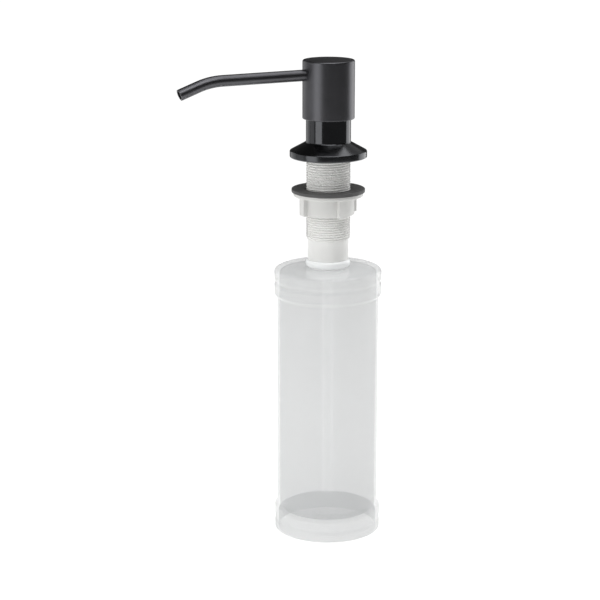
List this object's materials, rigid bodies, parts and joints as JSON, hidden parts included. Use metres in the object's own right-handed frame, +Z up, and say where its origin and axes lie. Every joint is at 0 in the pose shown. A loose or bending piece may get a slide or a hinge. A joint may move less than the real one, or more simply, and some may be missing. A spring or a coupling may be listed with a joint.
{
  "type": "soap pump dispenser",
  "caption": "Deck-mounted soap pump dispenser: pressed head with a bent spout, flanged collar, threaded shank with washer and lugged nut, and a screw-on banded bottle.",
  "frame": {"origin": "on the pump's axis, in the plane of the collar flange's underside, where it rests on the worktop", "axes": "+Z up along the pump's axis, the spout points along -X, Y is across"},
  "size_m": [0.1286, 0.066, 0.2957],
  "materials": {
    "satin_gunmetal": "satin",
    "black_nickel": "polished",
    "white_plastic": "satin",
    "bottle_plastic": "satin",
    "tube_plastic": "satin",
    "pump_plastic": "satin",
    "piston_plastic": "satin",
    "grey_rubber": "matte",
    "seal_rubber": "matte",
    "spring_steel": "satin",
    "ball_steel": "polished"
  },
  "bodies": {
    "mounting": {"collar": "black_nickel", "flange_gasket": "seal_rubber", "shank": "white_plastic"},
    "pump_unit": {"cylinder_gasket": "seal_rubber", "pump_cylinder": "pump_plastic", "cylinder_cap": "pump_plastic", "stem_wiper": "seal_rubber", "ball_cage": "pump_plastic", "dip_tube": "tube_plastic", "return_spring": "spring_steel"},
    "plunger": {"pump_stem": "pump_plastic", "pump_piston": "piston_plastic", "piston_clip": "pump_plastic"},
    "head": {"head_cap": "satin_gunmetal", "head_core": "pump_plastic", "spout_tube": "satin_gunmetal", "spout_seal": "seal_rubber"},
    "inlet_valve": {"inlet_ball": "ball_steel"},
    "outlet_valve": {"outlet_ball": "ball_steel"},
    "washer": {"deck_washer": "grey_rubber"},
    "nut": {"mounting_nut": "white_plastic"},
    "seal": {"bottle_seal": "seal_rubber"},
    "bottle": {"bottle": "bottle_plastic"}
  },
  "joints": [
    {"name": "pump_lift", "type": "slide", "parent": "mounting", "child": "pump_unit", "axis": [0, 0, 1], "range_m": [0, 0.25]},
    {"name": "head_press", "type": "slide", "parent": "pump_unit", "child": "plunger", "axis": [0, 0, -1], "range_m": [0, 0.012], "stiffness_N_per_m": 500, "springref_m": -0.008, "deforming": ["return_spring"]},
    {"name": "head_turn", "type": "hinge", "parent": "plunger", "child": "head", "pos_m": [0, 0, 0.045], "axis": [0, 0, 1], "continuous": true},
    {"name": "inlet_ball_lift", "type": "slide", "parent": "pump_unit", "child": "inlet_valve", "axis": [0, 0, 1], "range_m": [0, 0.0015]},
    {"name": "outlet_ball_lift", "type": "slide", "parent": "plunger", "child": "outlet_valve", "axis": [0, 0, 1], "range_m": [0, 0.0012]},
    {"name": "washer_slide", "type": "slide", "parent": "mounting", "child": "washer", "axis": [0, 0, 1], "range_m": [-0.015, 0.01875]},
    {"name": "nut_turn", "type": "hinge", "parent": "washer", "child": "nut", "pos_m": [0, 0, -0.0214], "axis": [0, 0, 1], "range_deg": [-3600, 4500]},
    {"name": "seal_slide", "type": "slide", "parent": "mounting", "child": "seal", "axis": [0, 0, 1], "range_m": [-0.009, 0]},
    {"name": "bottle_turn", "type": "hinge", "parent": "seal", "child": "bottle", "pos_m": [0, 0, -0.0518], "axis": [0, 0, 1], "range_deg": [-1080, 0]}
  ],
  "couplings": [
    {"joint": "washer_slide", "follows": "nut_turn", "m_per_rad": 0.00023873},
    {"joint": "seal_slide", "follows": "bottle_turn", "m_per_rad": 0.00047746}
  ]
}
